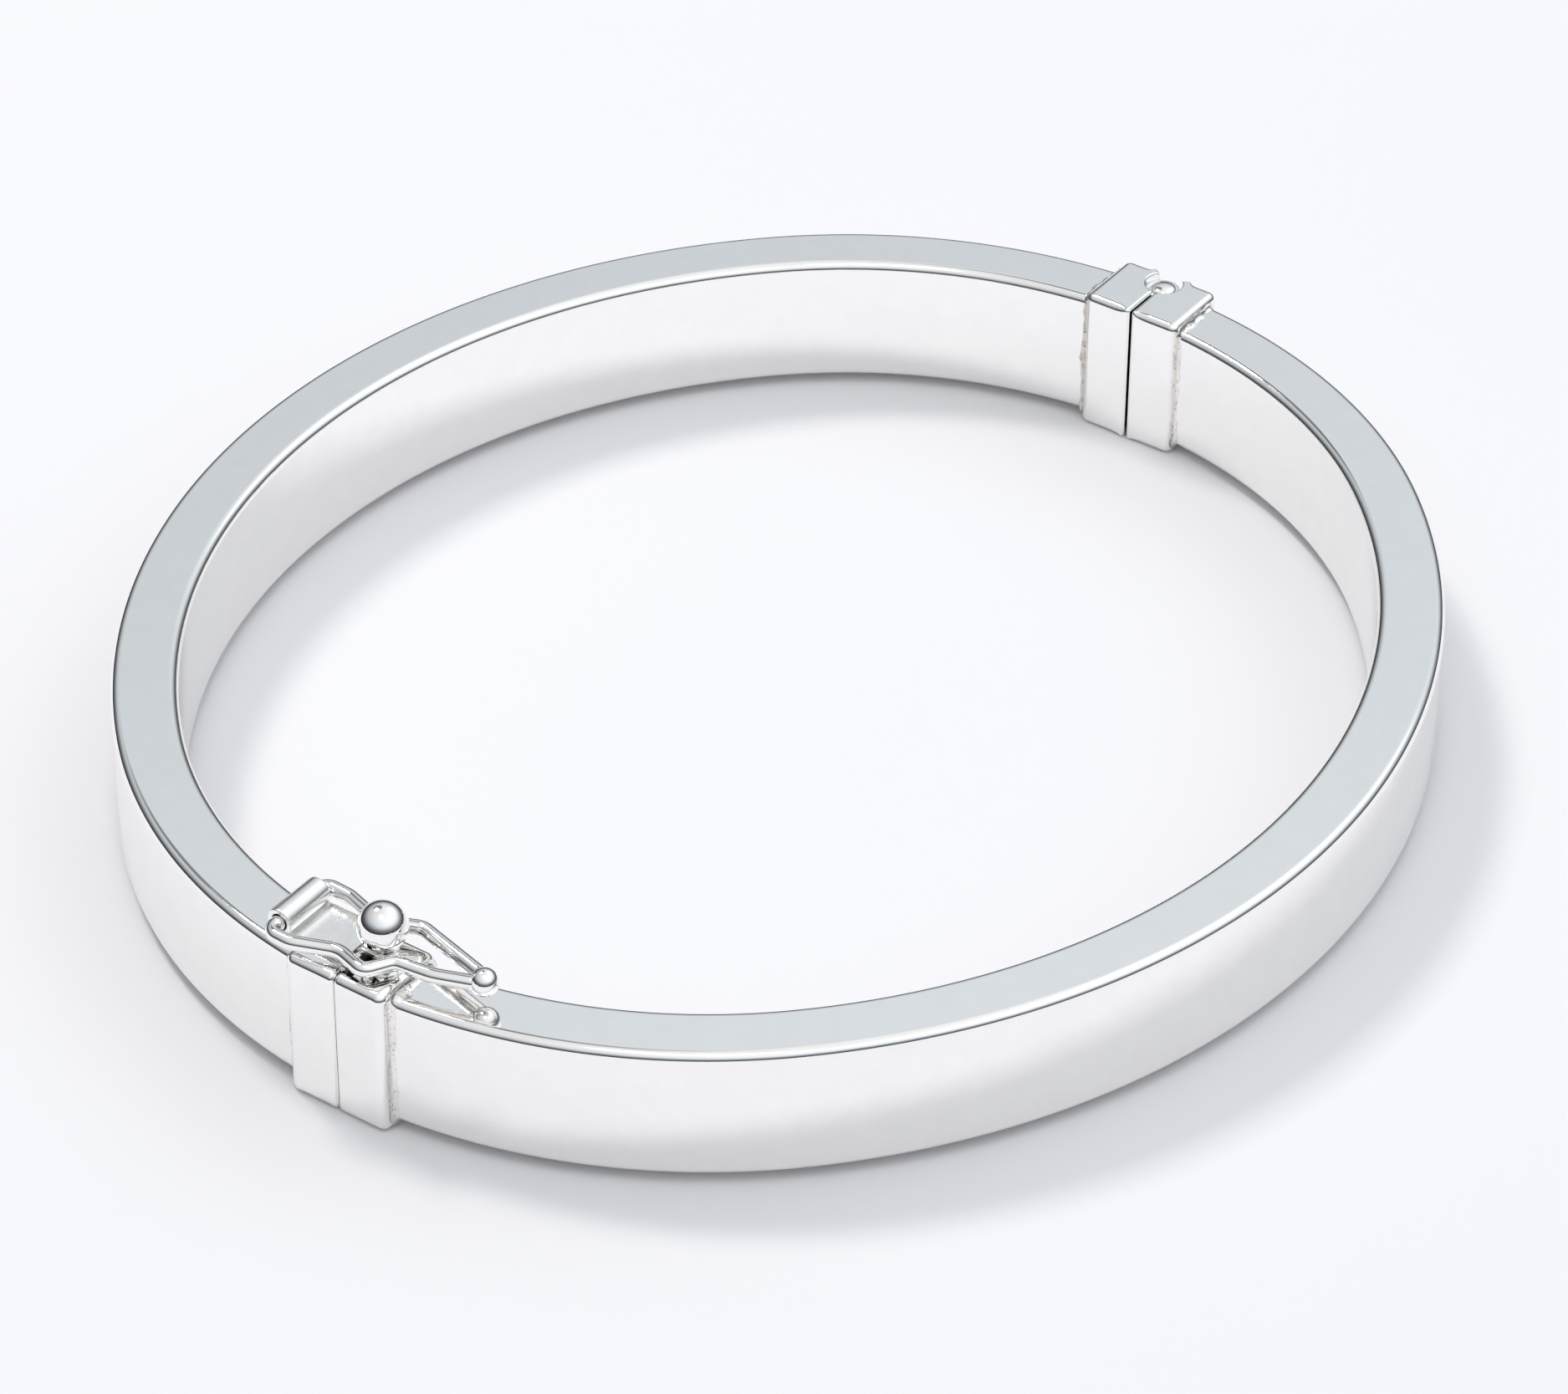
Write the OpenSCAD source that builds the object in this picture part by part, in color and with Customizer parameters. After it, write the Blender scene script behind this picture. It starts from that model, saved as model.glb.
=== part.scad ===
// Hinged oval bangle of hollow silver tube, with a box clasp and a figure-eight safety catch.
// Millimetres, Z up.  The bangle rests on its four collars at z = 0.  The long axis of the
// oval lies along X: the clasp is at +X, the hinge at -X.  The back half is at y < 0 and
// the front half at y > 0.

/* [Band] */
// Length of the oval over the tube
band_length = 66; // [58:0.5:80]
// Width of the oval as a share of its length
oval_ratio = 0.897; // [0.8:0.005:0.95]
// How far the tight end arcs pull in, as a share of half the length less half the width
arc_share = 0.735; // [0.6:0.005:0.8]
// Height of the tube
band_h = 6.7; // [6.2:0.1:9]
// Thickness of the tube from its inside face to its outside face
band_t = 3.1; // [3:0.1:4]
// Thickness of the sheet the tube is made of
sheet_t = 0.35; // [0.25:0.01:0.4]
// Rounding of the long edges of the tube
band_edge_r = 0.43; // [0.3:0.01:0.6]

/* [Collars] */
// Length of each collar along the tube
collar_len = 2.6; // [2.4:0.1:3.2]
// How far a collar stands proud of the tube on every side
collar_step = 0.45; // [0.4:0.01:0.6]
// Rounding of the outer edges of a collar
collar_edge_r = 0.45; // [0.3:0.01:0.5]
// Rounding of a collar's edges at the parting
parting_edge_r = 0.22; // [0.1:0.01:0.28]
// Gap between the two halves when the bangle is shut
parting_gap = 0.12; // [0.08:0.01:0.16]

/* [Hinge] */
// Distance from a collar's outside face in to the hinge axis
hinge_inset = 0.85; // [0.82:0.01:1]
// Radius of the hinge knuckles
knuckle_r = 0.8; // [0.7:0.01:0.8]
// Radius of the hinge pin
pin_r = 0.4; // [0.3:0.01:0.45]
// Radial clearance of the pin in the middle knuckle
pin_clearance = 0.05; // [0.03:0.01:0.08]
// Gap between neighbouring knuckles
knuckle_gap = 0.08; // [0.05:0.01:0.12]

/* [Tongue] */
// Width of the tongue
tongue_w = 1.7; // [1.4:0.1:1.7]
// Length of the tongue inside the box
tongue_len = 4.4; // [4:0.1:4.6]
// Thickness of the tongue's strip
tongue_t = 0.25; // [0.2:0.01:0.3]
// Height of the tongue's free end above its fold
tongue_rise = 2.2; // [1.8:0.05:2.3]
// Diameter of the ball pressed by the thumb
ball_d = 2.3; // [1.9:0.05:2.3]

/* [Safety catch] */
// Diameter of the safety wire
wire_d = 0.7; // [0.6:0.02:0.72]
// Radial clearance of the wire in the rolled end of its strap
roll_clearance = 0.05; // [0.03:0.01:0.08]
// Thickness of the strap that is rolled round the wire
strap_t = 0.25; // [0.2:0.01:0.28]
// Width of the strap
strap_w = 2.8; // [2.4:0.1:2.8]
// Diameter of the ball at the tip of the safety wire
tip_d = 1.3; // [1:0.05:1.4]

/* [Hidden] */
$fn = 48;

// The oval is four tangent arcs: two tight ones at the ends, two flat ones at the sides.
half_l = band_length / 2;
half_w = half_l * oval_ratio;
pull_in = arc_share * (half_l - half_w);
end_r = half_w - pull_in;
end_cx = half_l - end_r;
side_cy = (end_cx * end_cx - pull_in * pull_in) / (2 * pull_in);
side_r = half_w + side_cy;
join_angle = atan2(side_cy, end_cx);
hollow_edge_share = 0.8;

// Heights
tube_z = collar_step;
collar_top = band_h + 2 * collar_step;
collar_t = band_t + 2 * collar_step;

// The tube and both collars are centred here across their thickness
mid_x = half_l - band_t / 2;
face_y = parting_gap / 2;

// Clasp: depths measured from the parting at y = 0
plate_gap = 0.02;
mouth_t = 0.48;
mouth_face = face_y + plate_gap;
mouth_back = mouth_face + mouth_t;
end_plate_y = 0.62;
end_plate_t = 0.38;
stop_gap = 0.55;
stop_y = tongue_len + stop_gap;
stop_t = 0.35;

// Tongue: a strip folded into a V, its lower leaf level, its upper leaf rising to a neck
tongue_shift = 0.22;
tongue_x = mid_x - tongue_shift;
neck_drop = 1.435;
neck_z = tube_z + band_h - sheet_t - neck_drop;
neck_w = 1.1;
fold_z = neck_z - tongue_rise;
leaf_gap = 0.12;
leaf_z = fold_z - leaf_gap - tongue_t;
shoulder_gap = 0.1;
shoulder_y = -mouth_back - shoulder_gap;
shoulder_len = 0.15;
nose_share = 0.57;
mouth_slack = 0.1;
swing_slack = 0.3;
lip_gap = 0.06;
mouth_lip_z = neck_z + lip_gap;
slot_lap = 0.1;
slot_rise = 0.25;

// Thumb tab: a stem rising through the parting, a narrow tab bent over the front collar
stem_side = 0.15;
stem_w = band_t - 2 * stem_side;
stem_y = 0.02;
stem_t = 0.28;
stem_lap = 0.1;
stem_rise = 0.2;
stem_top = collar_top + stem_rise;
notch_slack = 0.1;
notch_gap = 0.08;
tab_w = 1.4;
tab_rise = 0.35;
tab_z = collar_top + tab_rise;
tab_t = 0.25;
ball_shift = 0.4;
ball_x = mid_x - ball_shift;
ball_y = 0.97;
ball_sink = 0.05;
ball_z = tab_z + tab_t + ball_d / 2 - ball_sink;

// Safety catch: the wire turns in a roll that stands on the collar's level
wire_r = wire_d / 2;
roll_r = wire_r + roll_clearance;
roll_out_r = roll_r + strap_t;
roll_y = -3.6;
roll_z = collar_top + roll_out_r;
strap_shift = 0.38;
strap_x = mid_x - strap_shift;
strap_end = 0.15;
tip_x = -0.95;
tip_y = 5.98;
bend_steps = 9;
wire_sides = 18;

// Hinge
hinge_x = -(half_l + collar_step) + hinge_inset;
pocket_gap = 0.12;
pocket_r = knuckle_r + pocket_gap;
web_y = 0.15;
barrel_z = 0.35;
barrel_h = collar_top - 2 * barrel_z;
knuckle_h = (barrel_h - 2 * knuckle_gap) / 3;
notch_half_angle = 45;
rivet_r = 0.62;
rivet_h = 0.22;
solid_end = 1.5;
reach = 2 * band_length;

// Rectangle from the origin with corners rounded by r1 at x = 0 and by r2 at x = w
module soft_rect(w, h, r1, r2) {
    translate([r1, 0]) square([w - r1 - r2, h]);
    translate([0, r1]) square([w / 2, h - 2 * r1]);
    translate([w / 2, r2]) square([w / 2, h - 2 * r2]);
    for (y = [r1, h - r1]) translate([r1, y]) circle(r = r1);
    for (y = [r2, h - r2]) translate([w - r2, y]) circle(r = r2);
}

// Cross-section of the tube, drawn in from its outside face by inset, at radius r
module tube_section(r, inset) {
    edge = band_edge_r - hollow_edge_share * inset;
    translate([r - band_t + inset, tube_z + inset])
        soft_rect(band_t - 2 * inset, band_h - 2 * inset, edge, edge);
}

// Half of the oval at y > 0 as a solid bar
module half_bar(inset = 0) {
    translate([end_cx, 0, 0])
        rotate_extrude(angle = join_angle, start = 0, $fn = 96) tube_section(end_r, inset);
    translate([0, -side_cy, 0])
        rotate_extrude(angle = 180 - 2 * join_angle, start = join_angle, $fn = 96)
            tube_section(side_r, inset);
    translate([-end_cx, 0, 0])
        rotate_extrude(angle = join_angle, start = 180 - join_angle, $fn = 96)
            tube_section(end_r, inset);
}

// Hollow half of the oval at y > 0, cut back by clasp_y at the clasp and by solid_end at the hinge
module half_shell(clasp_y) {
    difference() {
        half_bar();
        half_bar(sheet_t);
        translate([0, -reach + clasp_y, -1]) cube([reach, reach, collar_top + 2]);
        translate([-reach, -reach + solid_end, -1]) cube([reach, reach, collar_top + 2]);
    }
}

// Block with rounded edges, softer at its far end than at the parting: y from face_y up
module collar_block() {
    len = collar_len;
    translate([mid_x - collar_t / 2, face_y, 0]) intersection() {
        translate([0, len, 0]) rotate([90, 0, 0])
            linear_extrude(len) soft_rect(collar_t, collar_top, collar_edge_r, collar_edge_r);
        rotate([90, 0, 90])
            linear_extrude(collar_t) soft_rect(len, collar_top, parting_edge_r, collar_edge_r);
        translate([collar_t, 0, 0]) rotate([0, 0, 90])
            linear_extrude(collar_top) soft_rect(len, collar_t, parting_edge_r, collar_edge_r);
    }
}

// Collar of the clasp at y > 0, bored through for the tube
module clasp_collar() {
    difference() {
        collar_block();
        half_bar();
    }
}

// Slice of the tube's section at y > 0, between two distances from the parting
module tube_slice(y0, y1) {
    intersection() {
        half_bar();
        translate([mid_x - collar_t, y0, 0]) cube([2 * collar_t, y1 - y0, collar_top]);
    }
}

// Wedge open towards -X, centred on the hinge axis
module hinge_notch() {
    far = 4 * knuckle_r;
    spread = far * tan(notch_half_angle);
    translate([hinge_x, 0, -1]) linear_extrude(collar_top + 2)
        polygon([[0, 0], [-far, spread], [-far, -spread]]);
}

// Collar of the hinge at y > 0: solid at the hinge, bored for the tube behind it
module hinge_collar() {
    difference() {
        mirror([1, 0, 0]) collar_block();
        difference() {
            half_bar();
            translate([-reach, -1, 0]) cube([reach, solid_end + 1, collar_top]);
        }
        translate([hinge_x, 0, -1]) cylinder(r = pocket_r, h = collar_top + 2);
        hinge_notch();
    }
}

// Knuckle at y > 0 from height z0, with a web to the collar beside it
module knuckle(z0, bore_r) {
    translate([0, 0, z0]) difference() {
        union() {
            translate([hinge_x, 0, 0]) cylinder(r = knuckle_r, h = knuckle_h);
            difference() {
                translate([hinge_x, 0, 0]) cylinder(r = pocket_r, h = knuckle_h);
                translate([hinge_x - 2 * pocket_r, web_y - 4 * pocket_r, -1])
                    cube([4 * pocket_r, 4 * pocket_r, knuckle_h + 2]);
                hinge_notch();
            }
        }
        translate([hinge_x, 0, -1]) cylinder(r = bore_r, h = knuckle_h + 2);
    }
}

// Knuckle sharing the back half's side
module back_knuckle(z0) {
    mirror([0, 1, 0]) knuckle(z0, pin_r);
}

// Unit heading from one point to the next
function heading(p, q) = (q - p) / norm(q - p);
// Signed turn in degrees at corner b on the way from a to c
function turn_at(a, b, c) =
    let (u = heading(a, b), v = heading(b, c))
    atan2(u.x * v.y - u.y * v.x, u.x * v.x + u.y * v.y);
// Rounded corner at b: points and headings, as [x, y, heading angle], along a bend of radius r
function bend(a, b, c, r) =
    let (
        u = heading(a, b),
        turn = turn_at(a, b, c),
        side = sign(turn),
        inward = [-u.y, u.x] * side,
        centre = b - u * r * tan(abs(turn) / 2) + inward * r,
        first = atan2(-inward.y, -inward.x)
    )
    [for (k = [0:bend_steps])
        let (angle = first + turn * k / bend_steps)
        [centre.x + r * cos(angle), centre.y + r * sin(angle), angle + 90 * side]];

// Bends of the safety wire in order round its loop: [x from the tube's middle, y, bend radius].
// The loop leaves the roll at its outer end, rounds the ball, turns at the tip and comes back.
wire_bends = [
    [1.75, roll_y, 0.5], [1.8, -2.4, 1.1], [1.0, -0.35, 1.3], [1.5, 1.35, 0.45],
    [0.25, 2.08, 0.5], [0.02, 3.9, 3],
    [tip_x - 0.04, tip_y + 0.64, wire_r + 0.02],
    [-2.3, 1.65, 0.8], [-1.5, -0.1, 1.6], [-2.15, -2.2, 1.1], [-2.2, roll_y, 0.42]
];

// Closed loop of round wire through the bends, at the height of the roll's axis
module wire_loop() {
    last = len(wire_bends) - 1;
    corner = [for (p = wire_bends) [p.x, p.y]];
    path = [for (i = [0:last])
        each bend(corner[(i + last) % (last + 1)], corner[i], corner[(i + 1) % (last + 1)],
            wire_bends[i].z)];
    rings = len(path);
    vertices = [for (p = path) for (k = [0:wire_sides - 1])
        let (across = wire_r * cos(360 * k / wire_sides), up = wire_r * sin(360 * k / wire_sides))
        [p.x - across * sin(p.z), p.y + across * cos(p.z), up]];
    faces = [for (i = [0:rings - 1]) for (k = [0:wire_sides - 1])
        let (here = i * wire_sides, ahead = (i + 1) % rings * wire_sides, next = (k + 1) % wire_sides)
        each [[here + k, here + next, ahead + next], [here + k, ahead + next, ahead + k]]];
    translate([mid_x, 0, roll_z]) polyhedron(vertices, faces);
}

module back_shell() {
    color("gainsboro") mirror([0, 1, 0]) half_shell(mouth_back + plate_gap);
}

module back_clasp_collar() {
    color("gainsboro") mirror([0, 1, 0]) clasp_collar();
}

// Plate closing the box, with a wide mouth for the tongue and a notch above it for the neck
module box_mouth_plate() {
    mouth_w = tongue_w + mouth_slack + swing_slack;
    neck_slot = neck_w + 2 * mouth_slack;
    color("silver") difference() {
        mirror([0, 1, 0]) tube_slice(mouth_face, mouth_back);
        translate([tongue_x - tongue_w / 2 - mouth_slack, -1, leaf_z - mouth_slack])
            cube([mouth_w, 1, mouth_lip_z - leaf_z + mouth_slack]);
        translate([ball_x - neck_slot / 2, -1, mouth_lip_z - slot_lap])
            cube([neck_slot + mouth_slack, 1, slot_lap + tongue_t + slot_rise]);
    }
}

// Plate that closes the inner end of the box
module box_stop_plate() {
    color("silver") mirror([0, 1, 0]) intersection() {
        half_bar(sheet_t);
        translate([0, stop_y, 0]) cube([reach, stop_t, collar_top]);
    }
}

module back_hinge_collar() {
    color("gainsboro") mirror([0, 1, 0]) hinge_collar();
}

module upper_hinge_knuckle() {
    color("gainsboro") back_knuckle(barrel_z + 2 * (knuckle_h + knuckle_gap));
}

module lower_hinge_knuckle() {
    color("gainsboro") back_knuckle(barrel_z);
}

// Pin fixed in the outer knuckles, its ends riveted into low domes
module hinge_pin() {
    color("silver") translate([hinge_x, 0, 0]) {
        translate([0, 0, barrel_z]) cylinder(r = pin_r, h = barrel_h);
        translate([0, 0, barrel_z + barrel_h]) rivet_dome();
        translate([0, 0, barrel_z]) mirror([0, 0, 1]) rivet_dome();
    }
}

// Low spherical cap standing on z = 0
module rivet_dome() {
    cap_r = (rivet_r * rivet_r + rivet_h * rivet_h) / (2 * rivet_h);
    intersection() {
        translate([0, 0, rivet_h - cap_r]) sphere(r = cap_r);
        cylinder(r = rivet_r, h = rivet_h);
    }
}

// Flat strap on the back collar, its end rolled into a bearing for the safety wire
module safety_strap() {
    color("silver") translate([strap_x - strap_w / 2, 0, 0]) difference() {
        union() {
            translate([0, roll_y, roll_z]) rotate([0, 90, 0]) cylinder(r = roll_out_r, h = strap_w);
            translate([0, roll_y, collar_top]) cube([strap_w, -roll_y - strap_end, strap_t]);
        }
        translate([-1, roll_y, roll_z]) rotate([0, 90, 0]) cylinder(r = roll_r, h = strap_w + 2);
    }
}

module front_shell() {
    color("gainsboro") half_shell(end_plate_y + end_plate_t + plate_gap);
}

// Front clasp collar, its top wall notched for the stem of the thumb tab
module front_clasp_collar() {
    notch_w = stem_w + 2 * notch_slack;
    color("gainsboro") difference() {
        clasp_collar();
        translate([mid_x - notch_w / 2, 0, collar_top - 2 * collar_step])
            cube([notch_w, end_plate_y + notch_gap, 3 * collar_step]);
    }
}

// Plate that closes the front half, slotted for the tongue's lower leaf
module front_end_plate() {
    color("silver") difference() {
        tube_slice(end_plate_y, end_plate_y + end_plate_t);
        translate([tongue_x - tongue_w / 2, 0, leaf_z]) cube([tongue_w, 2, tongue_t]);
    }
}

// Level leaf of the folded tongue, with a rounded nose at the fold
module tongue_lower_leaf() {
    nose = tongue_t / 2;
    color("silver") translate([tongue_x - tongue_w / 2, 0, leaf_z]) {
        translate([0, -tongue_len, 0])
            cube([tongue_w, tongue_len + end_plate_y + end_plate_t, tongue_t]);
        translate([0, -tongue_len, nose]) rotate([0, 90, 0]) cylinder(r = nose, h = tongue_w);
    }
}

module front_hinge_collar() {
    color("gainsboro") hinge_collar();
}

module middle_hinge_knuckle() {
    color("gainsboro") knuckle(barrel_z + knuckle_h + knuckle_gap, pin_r + pin_clearance);
}

// Rising leaf of the tongue: wide up to its shoulders, then a narrow neck out through the mouth
module tongue_spring_leaf() {
    root_y = -tongue_len;
    nose = nose_share * tongue_t;
    color("silver") {
        translate([tongue_x - tongue_w / 2, 0, 0]) rotate([90, 0, 90]) linear_extrude(tongue_w)
            polygon([
                [root_y, fold_z], [shoulder_y, neck_z], [shoulder_y, neck_z + tongue_t],
                [shoulder_y - shoulder_len, neck_z + tongue_t], [root_y, fold_z + 2 * nose]
            ]);
        translate([tongue_x - tongue_w / 2, root_y, fold_z + nose]) rotate([0, 90, 0])
            cylinder(r = nose, h = tongue_w);
        translate([ball_x - neck_w / 2, shoulder_y, neck_z])
            cube([neck_w, stem_y - shoulder_y, tongue_t]);
    }
}

// Stem rising from the neck through the parting, and the tab bent over the front collar
module thumb_tab() {
    color("silver") {
        translate([mid_x - stem_w / 2, stem_y, neck_z - stem_lap])
            cube([stem_w, stem_t, stem_top - neck_z + stem_lap]);
        translate([ball_x - tab_w / 2, stem_y, stem_top])
            cube([tab_w, stem_t, tab_z + tab_t - stem_top]);
        difference() {
            union() {
                translate([ball_x - tab_w / 2, stem_y, tab_z]) cube([tab_w, ball_y - stem_y, tab_t]);
                translate([ball_x, ball_y, tab_z]) cylinder(r = tab_w / 2, h = tab_t);
            }
            translate([ball_x, ball_y, ball_z]) sphere(r = ball_d / 2, $fn = 64);
        }
    }
}

module thumb_ball() {
    color("silver") translate([ball_x, ball_y, ball_z]) sphere(r = ball_d / 2, $fn = 64);
}

// Figure-eight wire: a shaft through the roll, a lobe over the strap and one round the ball
module safety_wire() {
    color("silver") difference() {
        wire_loop();
        tip_sphere();
    }
}

module safety_wire_tip() {
    color("silver") tip_sphere();
}

// Ball at the tip of the safety wire
module tip_sphere() {
    translate([mid_x + tip_x, tip_y, roll_z]) sphere(r = tip_d / 2);
}

back_shell();
back_clasp_collar();
box_mouth_plate();
box_stop_plate();
back_hinge_collar();
upper_hinge_knuckle();
lower_hinge_knuckle();
hinge_pin();
safety_strap();
front_shell();
front_clasp_collar();
front_end_plate();
tongue_lower_leaf();
front_hinge_collar();
middle_hinge_knuckle();
tongue_spring_leaf();
thumb_tab();
thumb_ball();
safety_wire();
safety_wire_tip();
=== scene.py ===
# Hinged oval silver bangle with a box clasp and a figure-eight safety wire.
import math
import bmesh
import bpy
import numpy as np
from mathutils import Matrix, Vector
from mathutils.geometry import tessellate_polygon


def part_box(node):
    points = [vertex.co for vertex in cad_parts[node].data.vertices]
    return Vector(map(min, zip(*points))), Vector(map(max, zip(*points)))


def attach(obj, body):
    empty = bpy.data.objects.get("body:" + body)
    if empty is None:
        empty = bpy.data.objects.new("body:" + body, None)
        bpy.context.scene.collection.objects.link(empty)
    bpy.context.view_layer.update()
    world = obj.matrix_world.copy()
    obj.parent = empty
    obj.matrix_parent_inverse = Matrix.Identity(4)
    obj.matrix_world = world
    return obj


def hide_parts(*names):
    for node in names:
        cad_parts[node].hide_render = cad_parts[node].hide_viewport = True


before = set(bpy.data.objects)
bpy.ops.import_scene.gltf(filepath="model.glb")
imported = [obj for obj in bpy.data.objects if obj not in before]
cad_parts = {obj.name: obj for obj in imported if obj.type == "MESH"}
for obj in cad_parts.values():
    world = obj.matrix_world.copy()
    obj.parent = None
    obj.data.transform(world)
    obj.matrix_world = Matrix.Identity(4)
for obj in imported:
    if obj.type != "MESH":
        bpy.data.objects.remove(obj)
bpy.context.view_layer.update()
mm = 0.001
scene = bpy.context.scene
print("frame loaded")


def cornersOf(node):
    # lowest and highest corner of a part, in millimetres
    low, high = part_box(node)
    return np.array(low) / mm, np.array(high) / mm


def enclosedVolume(points, faces):
    # sum over quads of origin-to-face pyramids: a dot (b cross c), taken over both triangles
    a, b, c, d = (points[faces[:, k]] for k in range(4))
    first = np.einsum("ij,ij->i", a, np.cross(b, c))
    return (first + np.einsum("ij,ij->i", a, np.cross(c, d))).sum() / 6


def capFaces(ring, start, flip):
    # triangles that fill a level ring of any outline; the normal is the sum of p x pNext round
    # the ring, and the triangles' own normals against it tell which way round they go
    centred = ring - ring.mean(0)
    normal = np.cross(centred, np.roll(centred, -1, 0)).sum(0)
    triangles = np.array(tessellate_polygon([[Vector(p) for p in centred]]))
    a, b, c = (centred[triangles[:, k]] for k in range(3))
    turned = (np.cross(b - a, c - a) @ normal).sum() < 0
    return ((triangles[:, ::-1] if turned != flip else triangles) + start).tolist()


def gridPiece(name, points, closeU=True, closeV=True, caps=False, uv=None, sharp=32):
    # point (u, v) joins its neighbours at u + 1 and v + 1, round to the start where a way is closed,
    # and an open u way is shut by one flat face at each end
    nu, nv = points.shape[:2]
    flat = points.reshape(-1, 3)
    u = np.arange(nu if closeU else nu - 1)[:, None]
    v = np.arange(nv if closeV else nv - 1)[None, :]
    uNext, vNext = (u + 1) % nu, (v + 1) % nv
    quads = np.stack([u * nv + v, uNext * nv + v, uNext * nv + vNext, u * nv + vNext], -1).reshape(-1, 4)
    inside = enclosedVolume(flat - flat.mean(0), quads) < 0
    if inside:
        quads = quads[:, ::-1]
    faces = quads.tolist()
    for start, end in [(0, True), ((nu - 1) * nv, False)][:{"first": 1, True: 2}.get(caps, 0)]:
        faces += capFaces(flat[start:start + nv], start, end == inside)
    mesh = bpy.data.meshes.new(name)
    mesh.from_pydata((flat * mm).tolist(), [], faces)
    if uv is not None:  # distance along and round, in centimetres, kept unwrapped at the joins
        uLine, vLine = uv
        uAt = np.stack([u + 0 * v, u + 1 + 0 * v, u + 1 + 0 * v, u + 0 * v], -1).reshape(-1, 4)
        vAt = np.stack([v + 0 * u, v + 0 * u, v + 1 + 0 * u, v + 1 + 0 * u], -1).reshape(-1, 4)
        if inside:
            uAt, vAt = uAt[:, ::-1], vAt[:, ::-1]
        loops = np.stack([np.asarray(uLine)[uAt], np.asarray(vLine)[vAt]], -1).reshape(-1, 2) / 10
        layer = mesh.uv_layers.new(name="along")
        layer.data.foreach_set("uv", loops.astype(np.float32).ravel())
    piece = bpy.data.objects.new(name, mesh)
    scene.collection.objects.link(piece)
    mesh.shade_smooth()
    mesh.set_sharp_from_angle(angle=math.radians(sharp))
    mesh.validate()
    mesh.update()
    return piece


def finishPiece(piece, body, slot, material, *nodes):
    # material and body of a piece, and the parts that it stands for; the slot argument is not used
    piece.data.materials.append(material)
    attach(piece, body)
    if nodes:
        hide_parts(*nodes)
    return piece


def withEdges(low, high, edge, count):
    # stations from low to high, with one close beside each end so that the flat stays flat
    return np.concatenate([[low, low + edge], np.linspace(low + edge, high - edge, count + 2)[1:-1],
                           [high - edge, high]])


def turn(start, end, count):
    # count + 1 even angles from start to end, degrees in and radians out
    return np.radians(np.linspace(start, end, count + 1))


def softRect(low, high, radius, cuts=None, corner=10, flat=6, edge=0.03):
    # rectangle outline with quarter-circle corners, anticlockwise from the top side's right end;
    # the top side may be cut at two stations, its height there following the corner's circle
    (w0, z0), (w1, z1) = low, high
    r = max(radius, 0.004)
    doubled, cuts = cuts is not None, cuts or (w0 + r, w1 - r)
    centre = (z0 + r, z1 - r)
    rightCut = math.degrees(math.acos(min(max((cuts[1] - w1 + r) / r, 0), 1)))
    leftCut = math.degrees(math.acos(min(max((w0 + r - cuts[0]) / r, 0), 1)))
    parts = []

    def arc(cw, cz, start, end):  # centre plus radius times cosine and sine
        t = turn(start, end, corner)
        parts.append(np.stack([cw + r * np.cos(t), cz + r * np.sin(t)], -1))

    top = withEdges(cuts[0], cuts[1], edge, flat)[::-1]
    if doubled:
        top = np.concatenate([top[:1], top, top[-1:]])
    over = np.clip(np.maximum(w0 + r - top, top - w1 + r), 0, r)
    parts.append(np.stack([top, z1 - r + np.sqrt(r * r - over ** 2)], -1))
    arc(w0 + r, centre[1], 180 - leftCut, 180)
    parts[-1] = parts[-1][0 if doubled else 1:]
    side = withEdges(centre[0], centre[1], edge, flat)[1:-1]
    parts.append(np.stack([np.full(len(side), w0), side[::-1]], -1))
    arc(w0 + r, centre[0], 180, 270)
    base = withEdges(w0 + r, w1 - r, edge, flat)[1:-1]
    parts.append(np.stack([base, np.full(len(base), z0)], -1))
    arc(w1 - r, centre[0], 270, 360)
    parts.append(np.stack([np.full(len(side), w1), side], -1))
    arc(w1 - r, centre[1], 0, rightCut)
    parts[-1] = parts[-1][:None if doubled else -1]
    return np.concatenate(parts)


def lengthsOf(line, closed=True):
    # running length at each point, with the whole length added when the line is closed
    ends = np.roll(line, -1, 0) if closed else line[1:]
    steps = np.linalg.norm(ends - (line if closed else line[:-1]), axis=-1)
    return np.concatenate([[0], np.cumsum(steps)])


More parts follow.
